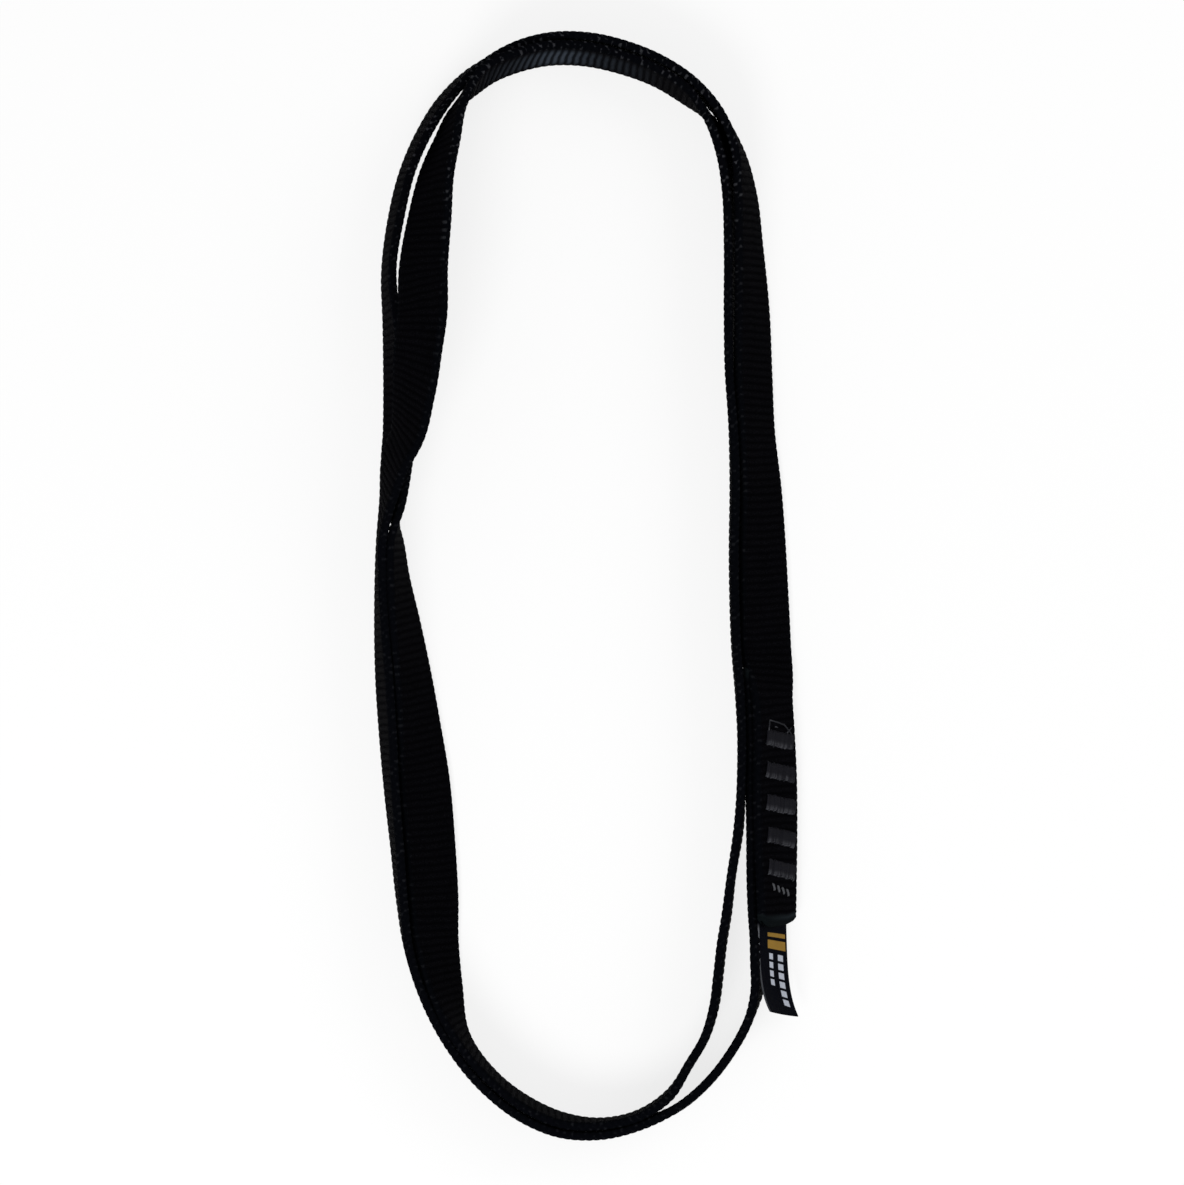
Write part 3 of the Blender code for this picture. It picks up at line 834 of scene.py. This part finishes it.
class Look:
    """Makes the nodes of one material."""

    def __init__(self, name):
        self.material = bpy.data.materials.new(name)
        self.material.use_nodes = True
        self.tree = self.material.node_tree
        self.shader = self.tree.nodes["Principled BSDF"]

    def socket(self, target, value):
        if isinstance(value, bpy.types.NodeSocket):
            self.tree.links.new(value, target)
        elif isinstance(value, tuple):
            target.default_value = (*value, 1.0)
        else:
            target.default_value = value

    def set(self, name, value):
        self.socket(self.shader.inputs[name], value)

    def attribute(self, name):
        node = self.tree.nodes.new("ShaderNodeAttribute")
        node.attribute_name = name
        return node.outputs["Fac"]

    def place(self):
        return self.tree.nodes.new("ShaderNodeTexCoord").outputs["Object"]

    def math(self, operation, one, two=0.0):
        node = self.tree.nodes.new("ShaderNodeMath")
        node.operation = operation
        self.socket(node.inputs[0], one)
        self.socket(node.inputs[1], two)
        return node.outputs[0]

    def times(self, one, two):
        return self.math("MULTIPLY", one, two)

    def plus(self, one, two):
        return self.math("ADD", one, two)

    def ripple(self, value, rate):
        return self.math("ABSOLUTE", self.math("SINE", self.times(value, rate)))

    def stretched(self, along, across, scales):
        """A place for noise, with a scale along the strip and one across it."""
        node = self.tree.nodes.new("ShaderNodeCombineXYZ")
        self.socket(node.inputs[0], self.times(along, scales[0]))
        self.socket(node.inputs[1], self.times(across, scales[1]))
        return node.outputs[0]

    def noise(self, vector, scale, detail, rough=0.5):
        node = self.tree.nodes.new("ShaderNodeTexNoise")
        self.socket(node.inputs["Vector"], vector)
        node.inputs["Scale"].default_value = scale
        node.inputs["Detail"].default_value = detail
        node.inputs["Roughness"].default_value = rough
        return node.outputs["Fac"]

    def ramp(self, value, low, high, from_low=0.0, from_high=1.0):
        node = self.tree.nodes.new("ShaderNodeMapRange")
        self.socket(node.inputs["Value"], value)
        limits = {"From Min": from_low, "From Max": from_high, "To Min": low, "To Max": high}
        for name, given in limits.items():
            node.inputs[name].default_value = given
        return node.outputs[0]

    def rise(self, value, start, stop):
        """0 up to the start and 1 from the stop."""
        return self.ramp(value, 0.0, 1.0, start, stop)

    def window(self, value, low, high, soft=soft_edge):
        """1 where the value is between low and high, with slightly soft edges."""
        up = self.rise(value, low - soft, low + soft)
        down = self.ramp(value, 1.0, 0.0, high - soft, high + soft)
        return self.times(up, down)

    def mix(self, share, one, two):
        node = self.tree.nodes.new("ShaderNodeMix")
        node.data_type = "RGBA"
        factor, first, second, mixed = 0, 6, 7, 2  # the colour sockets
        self.socket(node.inputs[factor], share)
        self.socket(node.inputs[first], one)
        self.socket(node.inputs[second], two)
        return node.outputs[mixed]

    def bump(self, height, distance):
        node = self.tree.nodes.new("ShaderNodeBump")
        node.inputs["Distance"].default_value = distance
        node.inputs["Strength"].default_value = 1.0
        self.socket(node.inputs["Height"], height)
        return node.outputs[0]


def webbing_look():
    look = Look("Black nylon weave")
    run_along, cross = look.attribute("run"), look.attribute("cross")
    rib, seal = look.attribute("rib"), look.attribute("seal")
    yarn = look.ripple(look.math("DIVIDE", cross, yarn_pitch), math.pi)
    filaments = look.noise(look.stretched(run_along, cross, filament_scales), scale=1.0, detail=2)
    blotch = look.noise(look.stretched(run_along, cross, blotch_scales), scale=1.0, detail=3)
    base = look.mix(blotch, weave_dark, weave_light)

    crest = look.rise(rib, *crest_range)
    dust = look.noise(look.place(), weave_dust, detail=2, rough=dust_roughness)
    tips = look.times(crest, look.rise(dust, *tip_range))
    base = look.mix(look.times(tips, tip_share), base, tip_color)

    # Painted highlight on the rib crests of the inner face over the top bend
    ridge = look.times(look.ramp(rib, *painted_highlight_ridge), look.ramp(filaments, *painted_highlight_results))
    base = look.mix(look.times(look.attribute("painted_highlight"), ridge), base, painted_highlight_color)

    edge = look.rise(look.math("ABSOLUTE", cross), *edge_range)
    base = look.mix(look.times(edge, edge_share), base, edge_color)
    fleck = look.noise(look.place(), knot_fleck, detail=1)
    knots = look.times(look.rise(rib, *knot_range), look.rise(fleck, *knot_fleck_range))
    knots = look.times(knots, look.ramp(filaments, *knot_filaments))
    knots = look.times(look.times(edge, knots), look.attribute("knot_strength"))
    base = look.mix(knots, base, knot_color)

    base = look.mix(look.times(seal, seal_share), base, seal_color)
    # Painted highlight along the outer layer's sealed lip
    lip_highlight = look.times(look.window(run_along, *lip_highlight_band), look.ramp(cross, *lip_highlight_fade))
    look.set("Base Color", look.mix(lip_highlight, base, lip_highlight_color))

    rough = look.math("SUBTRACT", look.ramp(filaments, *weave_rough), look.times(crest, crest_shine))
    look.set("Roughness", rough)
    look.set("Specular IOR Level", cloth_specular)
    weave = look.plus(look.times(yarn, yarn_share), look.times(filaments, filament_share))
    weave = look.times(weave, look.math("SUBTRACT", 1.0, seal))
    melted = look.times(look.noise(look.place(), weave_melt, detail=2), look.times(seal, melt_share))
    look.set("Normal", look.bump(look.plus(weave, melted), weave_bump))
    return look.material


def thread_look():
    look = Look("Dark grey sewing thread")
    run_along, turn = look.attribute("run"), look.attribute("turn")
    tone, end = look.attribute("tone"), look.attribute("end")
    twist = look.plus(look.times(run_along, thread_twist), look.times(turn, thread_plies))
    ply = look.ripple(twist, math.pi)
    fuzz = look.noise(look.place(), thread_fuzz, detail=2, rough=dust_roughness)

    base = look.mix(tone, thread_dark, thread_grey)
    lit = look.times(look.rise(end, *thread_lit_end), look.ramp(tone, *thread_lit_tone))
    base = look.mix(lit, base, thread_lit)
    between = look.math("SUBTRACT", 1.0, ply)
    base = look.mix(look.times(between, thread_shade_share), base, thread_shade)
    look.set("Base Color", look.mix(look.attribute("light"), base, thread_pale))

    look.set("Roughness", look.ramp(fuzz, *thread_rough))
    look.set("Specular IOR Level", thread_specular)
    look.set("Normal", look.bump(look.plus(ply, look.times(fuzz, thread_fuzz_share)), thread_bump))
    return look.material


def label_look():
    look = Look("Navy satin label")
    run_along, cross = look.attribute("run"), look.attribute("cross")
    cloud = look.noise(look.place(), satin_cloud, detail=3)
    base = look.mix(cloud, satin_dark, satin_light)

    # Painted sheen along one edge of the label
    painted_sheen = look.times(look.window(cross, *painted_sheen_band), look.ramp(run_along, *painted_sheen_fade))
    painted_sheen = look.times(painted_sheen, look.rise(run_along, *painted_sheen_start))
    base = look.mix(painted_sheen, base, painted_sheen_color)

    printed = look.plus(run_along, look.times(cross, print_slant))
    bands = look.math("MAXIMUM", *(look.window(printed, *band) for band in amber_bands))
    bands = look.times(bands, look.window(cross, *amber_across))
    base = look.mix(look.times(bands, look.ramp(cloud, *amber_wear)), base, amber)

    rows = (look.times(look.window(cross, *sides), look.window(printed, *ends)) for sides, ends in dash_rows)
    from_start = look.math("SUBTRACT", printed, dash_start)
    gaps = look.math("FRACT", look.math("DIVIDE", from_start, dash_pitch))
    dashes = look.times(look.math("MAXIMUM", *rows), look.ramp(gaps, 1.0, 0.0, *dash_gap))
    look.set("Base Color", look.mix(look.times(dashes, dash_share), base, dash_color))

    look.set("Roughness", look.ramp(cloud, *satin_rough))
    look.set("Specular IOR Level", cloth_specular)
    warp = look.times(look.ripple(cross, math.pi / warp_pitch), warp_share)
    weft = look.times(look.ripple(run_along, math.pi / weft_pitch), weft_share)
    look.set("Normal", look.bump(look.plus(warp, weft), satin_bump))
    return look.material


# Stage

def area_light(name, place, size, power):
    """A disk lamp that faces the origin."""
    lamp = bpy.data.lights.new(name, "AREA")
    lamp.shape = "DISK"
    lamp.size = size
    lamp.energy = power
    item = add_object(name, lamp)
    item.location = place
    item.rotation_mode = "QUATERNION"
    item.rotation_quaternion = Vector(place).to_track_quat("Z", "Y")


def seen_rays(tree):
    """1 on the rays that show the floor: the camera's, mirror ones and ones through glass."""
    path = tree.nodes.new("ShaderNodeLightPath")
    seen = path.outputs["Is Camera Ray"]
    for kind in ("Is Glossy Ray", "Is Transmission Ray"):
        larger = tree.nodes.new("ShaderNodeMath")
        larger.operation = "MAXIMUM"
        tree.links.new(seen, larger.inputs[0])
        tree.links.new(path.outputs[kind], larger.inputs[1])
        seen = larger.outputs[0]
    return seen


def build_floor():
    """A pale floor that takes the shadow, and shows partly as plain white."""
    mesh = bpy.data.meshes.new("floor")
    reach = floor_reach
    corners = [(-reach, -reach, 0), (reach, -reach, 0), (reach, reach, 0), (-reach, reach, 0)]
    mesh.from_pydata(corners, [], [(0, 1, 2, 3)])
    floor = add_object("floor", mesh)
    floor.location.z = floor_level
    made = bpy.data.materials.new("Pale floor")
    made.use_nodes = True
    tree = made.node_tree
    tree.nodes.clear()
    out = tree.nodes.new("ShaderNodeOutputMaterial")
    diffuse = tree.nodes.new("ShaderNodeBsdfDiffuse")
    diffuse.inputs["Color"].default_value = floor_color
    glow = tree.nodes.new("ShaderNodeEmission")
    glow.inputs["Color"].default_value = white
    glow.inputs["Strength"].default_value = 1.0
    share = tree.nodes.new("ShaderNodeMath")
    share.operation = "MULTIPLY"
    share.inputs[1].default_value = floor_glow_share
    tree.links.new(seen_rays(tree), share.inputs[0])
    mixed = tree.nodes.new("ShaderNodeMixShader")
    tree.links.new(share.outputs[0], mixed.inputs[0])
    tree.links.new(diffuse.outputs[0], mixed.inputs[1])
    tree.links.new(glow.outputs[0], mixed.inputs[2])
    tree.links.new(mixed.outputs[0], out.inputs[0])
    mesh.materials.append(made)


def build_stage():
    build_floor()
    world = bpy.data.worlds.new("Soft studio")
    bpy.context.scene.world = world
    world.use_nodes = True
    sky = world.node_tree.nodes["Background"]
    sky.inputs["Color"].default_value = white
    sky.inputs["Strength"].default_value = sky_strength
    for name, place, size, power in lamps:
        area_light(name, place, size, power)


def build_camera():
    data = bpy.data.cameras.new("view")
    data.lens = camera_lens
    data.sensor_width = camera_sensor
    data.clip_start, data.clip_end = camera_clip
    camera = add_object("view", data)
    camera.location = camera_place
    bpy.context.scene.camera = camera


build_camera()
bpy.context.scene.view_settings.view_transform = "Standard"
build_stage()

run, strip = route()
lap_map = layer_map(lap_length)

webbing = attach(build_webbing(webbing_look()), "sling")
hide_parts("webbing")
thread = thread_look()
for number, centre in enumerate(tack_places(), start=1):
    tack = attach(build_tack(number, centre, thread), "sling")
    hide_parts(f"bar_tack_{number}")
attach(build_tack_start(tack_places()[0], thread), "sling")
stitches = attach(build_end_stitches(thread), "sling")
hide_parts("end_stitches")

label = build_label(label_look())
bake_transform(label)
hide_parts("label_root", "label_tab")
